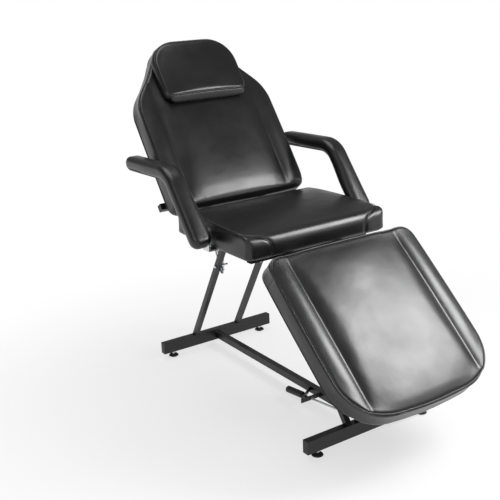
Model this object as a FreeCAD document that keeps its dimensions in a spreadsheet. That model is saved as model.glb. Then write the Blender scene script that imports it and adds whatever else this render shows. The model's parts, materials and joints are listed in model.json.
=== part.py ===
import FreeCAD, Part
import math
import os
from FreeCAD import Placement, Rotation, Vector

# Three-section massage table on a welded tube base, at rest with the back raised and the leg rest lowered.
# Millimetres. +Z up, foot end towards -Y, origin on the floor under the middle of the whole.

doc = FreeCAD.newDocument("massage_table")
sheet = doc.addObject("Spreadsheet::Sheet", "Sizes")

SIZES = {
    # seat
    "seat_width": 600, "seat_depth": 477, "seat_thick": 91, "seat_top": 692, "seat_front": -184,
    "seat_edge_round": 12, "seat_corner": 32, "seat_nose": 38, "seat_tail": 45, "seat_crown": 6,
    # upholstery shared sizes
    "board_thick": 12, "board_inset": 14, "soft_clearance": 0.3, "draw_in": 4, "valley_depth": 5,
    # back
    "back_width": 592, "back_thick": 80, "back_end_gap": 26, "back_angle": 54.5, "back_round": 9,
    "back_hinge_y": 304, "back_hinge_z": 638, "back_side": 395, "shoulder_radius": 150, "neck_radius": 900,
    "head_radius": 70, "head_flat": 176, "head_top": 688, "back_corner": 36, "back_roll": 40,
    "head_roll": 45, "back_valley": 215, "back_roll_top": 256, "edge_fall": 6,
    # leg rest
    "leg_width": 610, "leg_length": 607, "leg_thick": 80, "leg_end_gap": 10, "leg_angle": 42,
    "leg_hinge_y": -184, "leg_hinge_drop": 53, "leg_top_corner": 46, "leg_toe_corner": 165,
    "leg_toe_radius": 1640, "leg_round": 9, "leg_valley": 225, "leg_roll_top": 265,
    # head pillow
    "pillow_width": 368, "pillow_thick": 42, "pillow_low": 431, "pillow_length": 247,
    "pillow_round": 30, "pillow_low_corner": 34, "pillow_top_corner": 108, "pillow_crown": 8,
    # armrests
    "arm_gap": 19, "arm_width": 74, "arm_thick": 52, "arm_round": 23, "arm_rear_y": 471, "arm_rear_z": 846,
    "arm_bend_y": 186, "arm_bend_z": 852, "arm_low_y": 20, "arm_low_z": 642, "arm_bend_radius": 95,
    "arm_board_width": 46, "arm_board_thick": 18,
    "arm_bracket_thick": 5, "arm_bracket_width": 40, "arm_bracket_reach": 96, "arm_bracket_rise": 80,
    "arm_bolt_start": 6, "arm_bolt_pitch": 26, "arm_bolt_depth": 28,
    "arm_screw_start": 12, "arm_screw_bite": 12,
    # floor frame
    "bar_height": 46, "bar_depth": 26, "bar_ground": 23, "rear_bar_length": 520, "front_bar_length": 550,
    "rear_bar_y": 542, "front_bar_y": -438, "tube_wall": 1.5, "centre_side": 25, "centre_lift": 7,
    "plug_rim": 2.5, "plug_depth": 14, "plug_clearance": 0.1,
    # struts and seat frame
    "strut_side": 20, "strut_x": 103.5, "rear_strut_top": 257, "front_strut_top": -92,
    "rail_side": 25, "rail_front": -200, "rail_rear": 320, "cross_side": 25, "cross_length": 500,
    "front_cross_y": -114, "rear_cross_y": 218,
    # hinges and panel frames
    "pin_diameter": 10, "pin_clearance": 0.05, "pin_head": 18, "pin_head_height": 6,
    "lug_thick": 5, "lug_radius": 10, "lug_gap": 0.5,
    "panel_rail_side": 20, "panel_cross_side": 25, "back_rail_length": 520, "leg_rail_length": 440,
    "back_rail_start": 36, "leg_rail_start": 30,
    "back_cross_s": 86, "back_cross_length": 596, "lug_foot": 66,
    # slotted stays and their clamps
    "back_clamp_z": 420, "leg_clamp_z": 330, "clamp_bolt": 8, "clamp_head": 13,
    "clamp_head_height": 5.5, "clamp_reach": 34, "stay_thick": 4, "stay_width": 22, "stay_gap": 0.5,
    "stay_slot_clearance": 0.3, "stay_back_drop": 78, "stay_leg_drop": 18, "stay_margin": 3, "stay_pin": 8,
    "wing_hub": 16, "wing_height": 12, "wing_span": 46, "wing_thick": 5,
    # bolts that hold the boards and brackets
    "bolt": 8, "bolt_head": 14, "bolt_head_height": 5, "bolt_bite": 10, "seat_bolt_inset": 50,
    "panel_bolt_inset": 46, "panel_bolt_start": 114, "bracket_bolt_inset": 60, "drill_over": 1,
    # pull handle under the leg rest
    "pull_x": 60, "pull_grip_y": -48, "pull_grip_z": 31, "pull_slope": 7, "pull_rod": 8, "pull_length": 430,
    "grip_diameter": 25, "grip_length": 92, "grip_bore": 70, "vee_reach": 98, "vee_spread": 63,
    "vee_y": -183, "vee_thick": 4, "vee_height": 16, "guide_thick": 6, "guide_width": 24, "guide_rise": 12,
    "slide_clearance": 0.3,
    # feet
    "foot_diameter": 40, "foot_height": 11, "foot_seat": 28, "foot_inset": 45, "stud_diameter": 10,
    "stud_length": 34, "nut_width": 17, "nut_height": 6,
    # travel of the joints
    "back_lower": 54.5, "back_raise": 10, "leg_raise": 42, "leg_lower": 12,
}

for row, (alias, value) in enumerate(SIZES.items(), 1):
    sheet.set("A%d" % row, alias)
    sheet.set("B%d" % row, str(value))
    sheet.setAlias("B%d" % row, alias)
doc.recompute()


def size(alias):
    return float(sheet.get(alias))


# Directions: a panel piece is drawn flat and then tilted about its hinge
FLAT = Rotation()
SIDEWAYS = Rotation(Vector(0, 1, 0), Vector(0, 0, 1), Vector(1, 0, 0), "XYZ")
ACROSS = Rotation(Vector(0, 1, 0), 90)


def at(x, y, z, turn=FLAT):
    return Placement(Vector(x, y, z), turn)


def tilted(y, z, angle):
    return at(0, y, z, Rotation(Vector(1, 0, 0), angle))


# A closed outline: a point makes a line to it, a pair of points makes an arc through the first
def outline(start, *steps):
    edges = []
    here = Vector(*start, 0)
    for step in list(steps) + [start]:
        if isinstance(step[0], (tuple, list)):
            through = Vector(*step[0], 0)
            there = Vector(*step[1], 0)
            edges.append(Part.Arc(here, through, there))
        else:
            there = Vector(*step, 0)
            if there.distanceToPoint(here) > 1e-6:
                edges.append(Part.LineSegment(here, there))
        here = there
    return edges


# The middle of a quarter round from one point to another about a centre
def round_mid(centre, first, last):
    cx, cy = centre
    reach = math.hypot(first[0] - cx, first[1] - cy)
    mx = first[0] + last[0] - 2 * cx
    my = first[1] + last[1] - 2 * cy
    scale = reach / math.hypot(mx, my)
    return (cx + mx * scale, cy + my * scale)


def circle(x, y, radius):
    return [Part.Circle(Vector(x, y, 0), Vector(0, 0, 1), radius)]


def rectangle(low_x, low_y, high_x, high_y):
    return outline((low_x, low_y), (high_x, low_y), (high_x, high_y), (low_x, high_y))


def flat_plane(body):
    return [plane for plane in body.Origin.OriginFeatures if plane.Role == "XY_Plane"][0]


def upright_plane(body):
    return [plane for plane in body.Origin.OriginFeatures if plane.Role == "XZ_Plane"][0]


pieces = []


def piece(obj, label, placement=None):
    obj.Label = label
    if placement is not None:
        obj.Placement = placement
    pieces.append(obj)
    return obj


# A sketch of closed outlines padded about its own plane; lengths come from the sheet
def padded(label, edges, length, midplane=True):
    body = doc.addObject("PartDesign::Body", label + "_body")
    sketch = body.newObject("Sketcher::SketchObject", label + "_sketch")
    sketch.AttachmentSupport = [(flat_plane(body), "")]
    sketch.MapMode = "FlatFace"
    sketch.addGeometry(edges, False)
    pad = body.newObject("PartDesign::Pad", label + "_pad")
    pad.Profile = sketch
    pad.Midplane = midplane
    pad.setExpression("Length", length)
    doc.recompute()
    return body


# A half section (radius, height) turned about the upright axis
def turned(label, points):
    body = doc.addObject("PartDesign::Body", label + "_body")
    sketch = body.newObject("Sketcher::SketchObject", label + "_sketch")
    sketch.AttachmentSupport = [(upright_plane(body), "")]
    sketch.MapMode = "FlatFace"
    sketch.addGeometry(outline(*points), False)
    turn = body.newObject("PartDesign::Revolution", label + "_turn")
    turn.Profile = sketch
    turn.ReferenceAxis = (sketch, ["V_Axis"])
    turn.Angle = 360
    doc.recompute()
    return body


def rounded(body, edges, radius):
    names = ["Edge%d" % (number + 1) for number in edges]
    plain = body.Tip
    fillet = body.newObject("PartDesign::Fillet", body.Name + "_round")
    fillet.Base = (plain, names)
    fillet.setExpression("Radius", radius)
    doc.recompute()
    return body


# Numbers of the edges of a padded body that lie wholly at one height
def edges_at(body, height):
    found = []
    for number, edge in enumerate(body.Shape.Edges):
        if all(abs(vertex.Point.z - height) < 1e-4 for vertex in edge.Vertexes):
            found.append(number)
    return found


def boolean(kind, name, base, tool):
    result = doc.addObject("Part::" + kind, name)
    result.Base = base
    result.Tool = tool
    doc.recompute()
    return result


def box(name, length, width, height, corner):
    block = doc.addObject("Part::Box", name)
    block.setExpression("Length", length)
    block.setExpression("Width", width)
    block.setExpression("Height", height)
    block.Placement.Base = Vector(*corner)
    return block


# An open square or flat tube along its local X, its middle at the local origin
def tube(label, length, width, height, placement):
    long_size = evaluate(length)
    across = evaluate(width)
    tall = evaluate(height)
    wall = size("tube_wall")
    outer = box(label + "_outer", length, width, height, (-long_size / 2, -across / 2, -tall / 2))
    bore = box(label + "_bore", length + " + 2 * Sizes.tube_wall", width + " - 2 * Sizes.tube_wall",
               height + " - 2 * Sizes.tube_wall",
               (-long_size / 2 - wall, -across / 2 + wall, -tall / 2 + wall))
    return piece(boolean("Cut", label, outer, bore), label, placement)


def evaluate(expression):
    return float(sheet.evalExpression(expression))


# The same turned or padded piece at several places, kept as one node of separate solids
def repeated(label, master, placements):
    group = doc.addObject("Part::Feature", label)
    copies = []
    for placement in placements:
        copy = master.Shape.copy()
        copy.Placement = placement
        copies.append(copy)
    group.Shape = Part.makeCompound(copies)
    return piece(group, label)


# Heights and stations that follow from the driving sizes
seat_under = size("seat_top") - size("seat_thick")
seat_rear = size("seat_front") + size("seat_depth")
cross_mid_z = seat_under - size("cross_side") / 2
rail_top = seat_under - size("cross_side")
rail_mid_z = rail_top - size("rail_side") / 2
rail_under = rail_top - size("rail_side")
bar_top = size("bar_ground") + size("bar_height")
bar_mid_z = size("bar_ground") + size("bar_height") / 2
hinge_z = {"back": size("back_hinge_z"), "leg": seat_under - size("leg_hinge_drop")}
back_face = size("seat_top") - hinge_z["back"]
leg_face = size("seat_top") - hinge_z["leg"]
back_rear = back_face - size("back_thick")
leg_rear = leg_face - size("leg_thick")
back_place = tilted(size("back_hinge_y"), hinge_z["back"], size("back_angle"))
leg_place = tilted(size("leg_hinge_y"), hinge_z["leg"], size("leg_angle"))
sides = {"left": 1, "right": -1}
drill_over = size("drill_over")

# Floor frame: two crossbars on glide feet, joined by a square centre bar
tube("rear_crossbar", "Sizes.rear_bar_length", "Sizes.bar_depth", "Sizes.bar_height",
     at(0, size("rear_bar_y"), bar_mid_z))
tube("front_crossbar", "Sizes.front_bar_length", "Sizes.bar_depth", "Sizes.bar_height",
     at(0, size("front_bar_y"), bar_mid_z))
centre_mid_z = size("bar_ground") + size("centre_lift") + size("centre_side") / 2
tube("centre_bar", "Sizes.rear_bar_y - Sizes.front_bar_y - Sizes.bar_depth",
     "Sizes.centre_side", "Sizes.centre_side",
     at(0, (size("rear_bar_y") + size("front_bar_y")) / 2, centre_mid_z, Rotation(Vector(0, 0, 1), 90)))

# Moulded plugs close the open ends of the crossbars and of the back's cross tube
wall = size("tube_wall")
slack = wall + size("plug_clearance")


def plug(label, across, tall):
    rim = padded(label + "_rim", rectangle(-across / 2, -tall / 2, across / 2, tall / 2),
                 "Sizes.plug_rim", False)
    stem = padded(label + "_stem", rectangle(-across / 2 + slack, -tall / 2 + slack,
                                             across / 2 - slack, tall / 2 - slack),
                  "Sizes.plug_depth", False)
    stem.Placement = at(0, 0, -size("plug_depth"))
    return boolean("Fuse", label, rim, stem)


bar_plug = plug("bar_plug", size("bar_height"), size("bar_depth"))
plug_places = []
for bar_length, bar_y in ((size("rear_bar_length"), size("rear_bar_y")),
                          (size("front_bar_length"), size("front_bar_y"))):
    for way in (1, -1):
        plug_places.append(at(way * bar_length / 2, bar_y, bar_mid_z, Rotation(Vector(0, 1, 0), 90 * way)))
repeated("crossbar_plugs", bar_plug, plug_places)

# Glide feet: a domed rubber pad on a threaded stud with a lock nut under the crossbar
pad_radius = size("foot_diameter") / 2
seat_radius = size("foot_seat") / 2
foot_height = size("foot_height")
stud_radius = size("stud_diameter") / 2
stud_bore = stud_radius + size("pin_clearance")
pad_master = turned("foot_pad", ((0, 0), (seat_radius, 0), (pad_radius, foot_height * 0.35),
                                 ((pad_radius * 0.88, foot_height * 0.72), (pad_radius * 0.5, foot_height)),
                                 (stud_bore, foot_height), (stud_bore, foot_height / 2),
                                 (0, foot_height / 2)))
stud_master = turned("foot_stud", ((0, 0), (stud_radius, 0), (stud_radius, size("stud_length")),
                                   (0, size("stud_length"))))
nut_across = size("nut_width") / math.sqrt(3)
nut_points = [(nut_across * math.cos(math.radians(60 * n)), nut_across * math.sin(math.radians(60 * n)))
              for n in range(6)]
nut_master = padded("foot_nut", outline(*nut_points) + circle(0, 0, stud_bore), "Sizes.nut_height", False)
foot_spots = []
for bar_length, bar_y in ((size("rear_bar_length"), size("rear_bar_y")),
                          (size("front_bar_length"), size("front_bar_y"))):
    for way in (1, -1):
        foot_spots.append((way * (bar_length / 2 - size("foot_inset")), bar_y))
repeated("foot_pads", pad_master, [at(x, y, 0) for x, y in foot_spots])
nut_low = size("bar_ground") - size("nut_height")
repeated("foot_nuts", nut_master, [at(x, y, nut_low) for x, y in foot_spots])


# A piece made earlier, cut with round drills that are placed in the whole
def bored(label, drills):
    plain = [item for item in pieces if item.Label == label][0]
    plain.Label = label + "_plain"
    pieces.remove(plain)
    tool = doc.addObject("Part::Feature", label + "_drills")
    tool.Shape = Part.makeCompound(drills)
    return piece(boolean("Cut", label + "_bored", plain, tool), label)


def drill(radius, length, place):
    rod = Part.makeCylinder(radius, length)
    rod.Placement = place
    return rod


# The studs enter the crossbars and stop short of the upper wall
for bar_label, spots in (("rear_crossbar", foot_spots[:2]), ("front_crossbar", foot_spots[2:])):
    bored(bar_label, [drill(stud_bore, size("bar_height") / 2, at(x, y, size("bar_ground") - drill_over))
                      for x, y in spots])
repeated("foot_studs", stud_master, [at(x, y, foot_height / 2) for x, y in foot_spots])


# Struts: slanted square tubes, cut level with the crossbar below and the seat rail above
def strut(label, x, foot_y, top_y):
    rise = rail_under - bar_top
    lean = math.hypot(rise, top_y - foot_y) / rise
    half = size("strut_side") / 2
    deep = half * lean
    inner = half - wall
    ring = doc.addObject("Sketcher::SketchObject", label + "_ring")
    ring.addGeometry(rectangle(-half, -deep, half, deep) +
                     rectangle(-inner, -deep + wall * lean, inner, deep - wall * lean), False)
    slope = doc.addObject("Part::Extrusion", label)
    slope.Base = ring
    slope.DirMode = "Custom"
    slope.Dir = Vector(0, top_y - foot_y, rise)
    slope.LengthFwd = math.hypot(rise, top_y - foot_y)
    slope.Solid = True
    doc.recompute()
    return piece(slope, label, at(x, foot_y, bar_top))


def strut_y(foot_y, top_y, z):
    return foot_y + (top_y - foot_y) * (z - bar_top) / (rail_under - bar_top)


for side, way in sides.items():
    strut("rear_strut_" + side, way * size("strut_x"), size("rear_bar_y"), size("rear_strut_top"))
    strut("front_strut_" + side, way * size("strut_x"), size("front_bar_y"), size("front_strut_top"))

# Seat frame: two rails on the struts, two cross tubes on the rails
for side, way in sides.items():
    tube("seat_rail_" + side, "Sizes.rail_rear - Sizes.rail_front", "Sizes.rail_side", "Sizes.rail_side",
         at(way * size("strut_x"), (size("rail_rear") + size("rail_front")) / 2, rail_mid_z,
            Rotation(Vector(0, 0, 1), 90)))
for end in ("front", "rear"):
    tube("seat_cross_" + end, "Sizes.cross_length", "Sizes.cross_side", "Sizes.cross_side",
         at(0, size(end + "_cross_y"), cross_mid_z))

# Hinge stations, counted outwards from the rail: fixed lug, gap, moving lug, panel rail
lug_thick = size("lug_thick")
fixed_lug_x = size("strut_x") + size("rail_side") / 2 + lug_thick / 2
moving_lug_x = fixed_lug_x + lug_thick + size("lug_gap")
panel_rail_x = moving_lug_x + lug_thick / 2 + size("panel_rail_side") / 2
pin_radius = size("pin_diameter") / 2
pin_bore = pin_radius + size("pin_clearance")
lug_radius = size("lug_radius")


# A plate with a round eye at (eye_y, eye_z) that drops or rises to a straight foot beside the rail
def fixed_lug(label, eye_y, eye_z, foot_front, foot_rear, rising):
    far_z = rail_under if rising else rail_top
    near_front = (eye_y - lug_radius, eye_z)
    near_rear = (eye_y + lug_radius, eye_z)
    crown = (eye_y, eye_z + (lug_radius if rising else -lug_radius))
    knee_z = rail_top if rising else rail_under
    edges = outline((foot_front, far_z), (foot_front, knee_z), (near_front[0], knee_z), near_front,
                    (round_mid((eye_y, eye_z), near_front, crown), crown),
                    (round_mid((eye_y, eye_z), crown, near_rear), near_rear), (foot_rear, knee_z),
                    (foot_rear, far_z))
    return padded(label, edges + circle(eye_y, eye_z, pin_bore), "Sizes.lug_thick")


lug_foot = size("lug_foot")
back_lug = fixed_lug("back_fixed_lug", size("back_hinge_y"), hinge_z["back"],
                     size("rail_rear") - lug_foot, size("rail_rear"), True)
leg_lug = fixed_lug("leg_fixed_lug", size("leg_hinge_y"), hinge_z["leg"],
                    size("rail_front"), size("rail_front") + lug_foot, False)
for name, master in (("back", back_lug), ("leg", leg_lug)):
    repeated(name + "_hinge_lugs", master,
             [at(way * fixed_lug_x, 0, 0, SIDEWAYS) for way in sides.values()])


# Pins: a head outside the moving lug and a shank through both lugs
pin_top = size("pin_head") / 2
pin_head_height = size("pin_head_height")
pin_reach = 2 * lug_thick + 3 * size("lug_gap")
pin_end = pin_reach + pin_head_height
pin_master = turned("hinge_pin", (
    (0, 0), (pin_radius, 0), (pin_radius, pin_reach), (pin_top, pin_reach),
    (pin_top, pin_reach + pin_head_height * 0.5), (pin_top * 0.7, pin_end), (0, pin_end)))
pin_start = fixed_lug_x - lug_thick / 2
repeated("hinge_pins", pin_master,
         [at(way * pin_start, size(name + "_hinge_y"), hinge_z[name],
             Rotation(Vector(0, 1, 0), 90 * way))
          for name in ("back", "leg") for way in sides.values()])

# Panel frames: two rails along each panel, joined by cross tubes
panel_side = size("panel_rail_side")
turn_long = Rotation(Vector(0, 0, 1), 90)


# Distance along a panel counts away from its hinge: upwards on the back, downwards on the leg rest
def panel_rails(name, place, along, start, length, rear):
    for side, way in sides.items():
        middle = along * (start + evaluate(length) / 2)
        tube("%s_rail_%s" % (name, side), length, "Sizes.panel_rail_side", "Sizes.panel_rail_side",
             place * at(way * panel_rail_x, middle, rear - panel_side / 2, turn_long))


panel_rails("back", back_place, 1, size("back_rail_start"), "Sizes.back_rail_length", back_rear)
panel_rails("leg", leg_place, -1, size("leg_rail_start"), "Sizes.leg_rail_length", leg_rear)

back_cross_n = back_rear - panel_side - size("panel_cross_side") / 2
tube("back_cross_lower", "Sizes.back_cross_length", "Sizes.panel_cross_side", "Sizes.panel_cross_side",
     back_place * at(0, size("back_cross_s"), back_cross_n))
cross_plug = plug("cross_plug", size("panel_cross_side"), size("panel_cross_side"))
repeated("back_cross_plugs", cross_plug,
         [back_place * at(way * size("back_cross_length") / 2, size("back_cross_s"), back_cross_n,
                          Rotation(Vector(0, 1, 0), 90 * way)) for way in (1, -1)])

# Moving lugs, welded to the inner sides of the panel rails
back_low = back_rear - panel_side
back_foot_end = size("back_rail_start") + lug_foot
back_moving = padded("back_moving_lug", outline(
    (-lug_radius, 0), (-lug_radius, back_low), (back_foot_end, back_low), (back_foot_end, back_rear),
    (lug_radius, back_rear), (lug_radius, 0),
    (round_mid((0, 0), (lug_radius, 0), (0, lug_radius)), (0, lug_radius)),
    (round_mid((0, 0), (0, lug_radius), (-lug_radius, 0)), (-lug_radius, 0)),
) + circle(0, 0, pin_bore), "Sizes.lug_thick")
leg_low = leg_rear - panel_side
leg_foot_end = -size("leg_rail_start") - lug_foot
leg_moving = padded("leg_moving_lug", outline(
    (lug_radius, 0), (lug_radius, leg_low / 2), (-size("leg_end_gap"), leg_low - lug_radius),
    (-size("leg_end_gap"), leg_rear), (leg_foot_end, leg_rear), (leg_foot_end, leg_low),
    (-lug_radius, lug_radius), (-lug_radius, 0),
    (round_mid((0, 0), (-lug_radius, 0), (0, -lug_radius)), (0, -lug_radius)),
    (round_mid((0, 0), (0, -lug_radius), (lug_radius, 0)), (lug_radius, 0)),
) + circle(0, 0, pin_bore), "Sizes.lug_thick")
for name, master, place in (("back", back_moving, back_place), ("leg", leg_moving, leg_place)):
    repeated(name + "_lugs", master,
             [place * at(way * moving_lug_x, 0, 0, SIDEWAYS) for way in sides.values()])


# Outline of the back: straight sides, round shoulders, slightly hollow taper and a flat-topped head,
# every arc tangent to the next
def back_outline(inset):
    half = size("back_width") / 2 - inset
    low = size("back_end_gap") + inset
    corner = size("back_corner") - inset
    shoulder = size("shoulder_radius") - inset
    neck = size("neck_radius") + inset
    head = size("head_radius") - inset
    top = size("back_end_gap") + size("head_top") - inset
    side_end = size("back_end_gap") + size("back_side")
    shoulder_at = Vector(half - shoulder, side_end, 0)
    flat = size("head_flat") / 2
    head_at = Vector(flat, top - head, 0)
    span = head_at.sub(shoulder_at)
    gap = span.Length
    along = ((shoulder + neck) ** 2 - (head + neck) ** 2 + gap ** 2) / (2 * gap)
    out = math.sqrt((shoulder + neck) ** 2 - along ** 2)
    across = Vector(span.y, -span.x, 0) / gap
    neck_at = shoulder_at + span * (along / gap) + across * out
    first = shoulder_at + (neck_at - shoulder_at) * (shoulder / (shoulder + neck))
    second = head_at + (neck_at - head_at) * (head / (head + neck))
    point = {"side": (half, side_end), "first": (first.x, first.y), "second": (second.x, second.y)}
    shoulder_mid = round_mid((shoulder_at.x, shoulder_at.y), point["side"], point["first"])
    neck_mid = round_mid((neck_at.x, neck_at.y), point["first"], point["second"])
    head_mid = round_mid((flat, head_at.y), point["second"], (flat, top))

    def mirror(spot):
        return (-spot[0], spot[1])

    corner_mid = round_mid((half - corner, low + corner), (half - corner, low), (half, low + corner))
    return outline((-half + corner, low), (half - corner, low), (corner_mid, (half, low + corner)),
                   point["side"], (shoulder_mid, point["first"]), (neck_mid, point["second"]),
                   (head_mid, (flat, top)), (-flat, top), (mirror(head_mid), mirror(point["second"])),
                   (mirror(neck_mid), mirror(point["first"])),
                   (mirror(shoulder_mid), mirror(point["side"])),
                   (-half, low + corner), (mirror(corner_mid), (-half + corner, low)))


# Outline of the leg rest: small corners at the knee, large ones and a bowed edge at the toe
def leg_outline(inset):
    half = size("leg_width") / 2 - inset
    knee = -size("leg_end_gap") - inset
    toe = -size("leg_end_gap") - size("leg_length") + inset
    corner = size("leg_top_corner") - inset
    toe_corner = size("leg_toe_corner") - inset
    bow = size("leg_toe_radius") - inset
    bow_at = toe + bow
    corner_x = half - toe_corner
    corner_y = bow_at - math.sqrt((bow - toe_corner) ** 2 - corner_x ** 2)
    meet = (corner_x * bow / (bow - toe_corner), bow_at + (corner_y - bow_at) * bow / (bow - toe_corner))
    toe_mid = round_mid((corner_x, corner_y), (half, corner_y), meet)
    knee_mid = round_mid((half - corner, knee - corner), (half - corner, knee), (half, knee - corner))
    return outline((-half + corner, knee), (half - corner, knee), (knee_mid, (half, knee - corner)),
                   (half, corner_y), (toe_mid, meet), ((0, toe), (-meet[0], meet[1])),
                   ((-toe_mid[0], toe_mid[1]), (-half, corner_y)), (-half, knee - corner),
                   ((-knee_mid[0], knee_mid[1]), (-half + corner, knee)))


def corner_block(half, low, high, low_corner, high_corner):
    low_mid = round_mid((half - low_corner, low + low_corner), (half - low_corner, low),
                        (half, low + low_corner))
    high_mid = round_mid((half - high_corner, high - high_corner), (half, high - high_corner),
                         (half - high_corner, high))
    return outline((-half + low_corner, low), (half - low_corner, low),
                   (low_mid, (half, low + low_corner)), (half, high - high_corner),
                   (high_mid, (half - high_corner, high)), (-half + high_corner, high),
                   ((-high_mid[0], high_mid[1]), (-half, high - high_corner)),
                   (-half, low + low_corner), ((-low_mid[0], low_mid[1]), (-half + low_corner, low)))


def seat_outline(inset):
    return corner_block(size("seat_width") / 2 - inset, size("seat_front") + inset, seat_rear - inset,
                        size("seat_corner") - inset, size("seat_corner") - inset)


# Cross-section of a panel cushion: drawn-in sides, a roll along each side, a valley and a crowned middle
def panel_section(half, rear, face, roll_top, valley):
    dip = face - size("valley_depth")
    edge = face - size("edge_fall")
    waist = half - size("draw_in")
    middle = (rear + edge) / 2
    return outline((-half, rear), (half, rear), ((waist, middle), (half, edge)),
                   ((roll_top, face), (valley, dip)), ((0, face), (-valley, dip)),
                   ((-roll_top, face), (-half, edge)), ((-waist, middle), (-half, rear)))


def board(label, edges, place):
    return piece(padded(label, edges, "Sizes.board_thick", False), label, place)


# A cushion: its outline with a rounded face edge, cut to its section and hollowed for its board
def cushion(label, shape, thick, edge_round, section, board_edges, place):
    slab = padded(label + "_slab", shape, thick, False)
    rounded(slab, edges_at(slab, evaluate(thick)), edge_round)
    form = slab
    for number, (edges, length, turn) in enumerate(section, 1):
        cutter = padded("%s_form_%d" % (label, number), edges, length)
        cutter.Placement = turn
        form = boolean("Common", "%s_shaped_%d" % (label, number), form, cutter)
    rebate = padded(label + "_rebate", board_edges, "Sizes.board_thick + Sizes.soft_clearance", False)
    return piece(boolean("Cut", label, form, rebate), label, place)


LENGTHWAYS = Rotation(Vector(1, 0, 0), Vector(0, 0, 1), Vector(0, -1, 0), "XYZ")
ENDWAYS = Rotation(Vector(0, 1, 0), Vector(0, 0, 1), Vector(1, 0, 0), "XYZ")
inset = size("board_inset")
loose = inset - size("soft_clearance")
long_cut = "4 * Sizes.back_width"

# Seat: board on the cross tubes, crowned cushion with a rolled nose and a rounded tail
seat_place = at(0, 0, seat_under)
board("seat_board", seat_outline(inset), seat_place)
nose = size("seat_nose")
tail = size("seat_tail")
seat_thick = size("seat_thick")
seat_front = size("seat_front")
shoulder_z = seat_thick - size("seat_crown")
soft = size("soft_clearance")
seat_side = outline(
    (seat_front, soft), (seat_rear, soft), (seat_rear, shoulder_z - tail),
    (round_mid((seat_rear - tail, shoulder_z - tail), (seat_rear, shoulder_z - tail),
               (seat_rear - tail, shoulder_z)), (seat_rear - tail, shoulder_z)),
    (((seat_front + seat_rear) / 2, seat_thick), (seat_front + nose, shoulder_z)),
    (round_mid((seat_front + nose, shoulder_z - nose), (seat_front + nose, shoulder_z),
               (seat_front, shoulder_z - nose)), (seat_front, shoulder_z - nose)))
seat_half = size("seat_width") / 2
seat_waist = seat_half - size("draw_in")
seat_across = outline((-seat_half, 0), (seat_half, 0),
                      ((seat_waist, seat_thick / 2), (seat_half, seat_thick)), (-seat_half, seat_thick),
                      ((-seat_waist, seat_thick / 2), (-seat_half, 0)))
cushion("seat_cushion", seat_outline(0), "Sizes.seat_thick", "Sizes.seat_edge_round",
        ((seat_side, "2 * Sizes.seat_width", at(0, 0, 0, ENDWAYS)),
         (seat_across, long_cut, at(0, 0, 0, LENGTHWAYS))), seat_outline(loose), seat_place)

# Back: board, cushion with side rolls, a full lower roll and a rounded head
panel_back = back_place * at(0, 0, back_rear)
board("back_board", back_outline(inset), panel_back)
back_thick = size("back_thick")
back_start = size("back_end_gap")
back_stop = back_start + size("head_top")
roll = size("back_roll")
crown_roll = size("head_roll")
back_side = outline(
    (back_start, soft), (back_stop, soft), (back_stop, back_thick - crown_roll),
    (round_mid((back_stop - crown_roll, back_thick - crown_roll), (back_stop, back_thick - crown_roll),
               (back_stop - crown_roll, back_thick)), (back_stop - crown_roll, back_thick)),
    (back_start + roll, back_thick),
    (round_mid((back_start + roll, back_thick - roll), (back_start + roll, back_thick),
               (back_start, back_thick - roll)), (back_start, back_thick - roll)))
back_across = panel_section(size("back_width") / 2, 0, back_thick, size("back_roll_top"),
                            size("back_valley"))
cushion("back_cushion", back_outline(0), "Sizes.back_thick", "Sizes.back_round",
        ((back_across, long_cut, at(0, 0, 0, LENGTHWAYS)),
         (back_side, "2 * Sizes.back_width", at(0, 0, 0, ENDWAYS))), back_outline(loose), panel_back)

# Leg rest: board and cushion with side rolls
panel_leg = leg_place * at(0, 0, leg_rear)
board("leg_board", leg_outline(inset), panel_leg)
leg_across = panel_section(size("leg_width") / 2, soft, size("leg_thick"), size("leg_roll_top"),
                           size("leg_valley"))
cushion("leg_cushion", leg_outline(0), "Sizes.leg_thick", "Sizes.leg_round",
        ((leg_across, long_cut, at(0, 0, 0, LENGTHWAYS)),), leg_outline(loose), panel_leg)

# Head pillow: straight lower edge, round top, crowned front; it lies loose on the back
pillow_low = back_start + size("pillow_low")
pillow_half = size("pillow_width") / 2
pillow_thick = size("pillow_thick")
pillow_edges = corner_block(pillow_half, pillow_low, pillow_low + size("pillow_length"),
                            size("pillow_low_corner"), size("pillow_top_corner"))
pillow_slab = padded("pillow_slab", pillow_edges, "Sizes.pillow_thick", False)
rounded(pillow_slab, edges_at(pillow_slab, pillow_thick), "Sizes.pillow_round")
pillow_edge = pillow_thick - size("pillow_crown")
pillow_crown = padded("pillow_crown", outline(
    (-pillow_half, 0), (pillow_half, 0), (pillow_half, pillow_edge),
    ((0, pillow_thick), (-pillow_half, pillow_edge))), long_cut)
pillow_crown.Placement = at(0, 0, 0, LENGTHWAYS)
piece(boolean("Common", "head_pillow", pillow_slab, pillow_crown), "head_pillow",
      back_place * at(0, 0, back_face + size("soft_clearance")))

# Bolts that hold the boards to the tubes under them, heads below
bolt_radius = size("bolt") / 2
bolt_bore = bolt_radius + size("pin_clearance")
head_radius = size("bolt_head") / 2
head_height = size("bolt_head_height")


def bolt_master(label, length):
    return turned(label, ((0, -head_height), (head_radius, -head_height), (head_radius, 0),
                          (bolt_radius, 0), (bolt_radius, length), (0, length)))


def bolted(label, length, places, through):
    repeated(label, bolt_master(label + "_one", length), places)
    for target, chosen in through.items():
        bored(target, [drill(bolt_bore, length, places[number]) for number in chosen])


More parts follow.
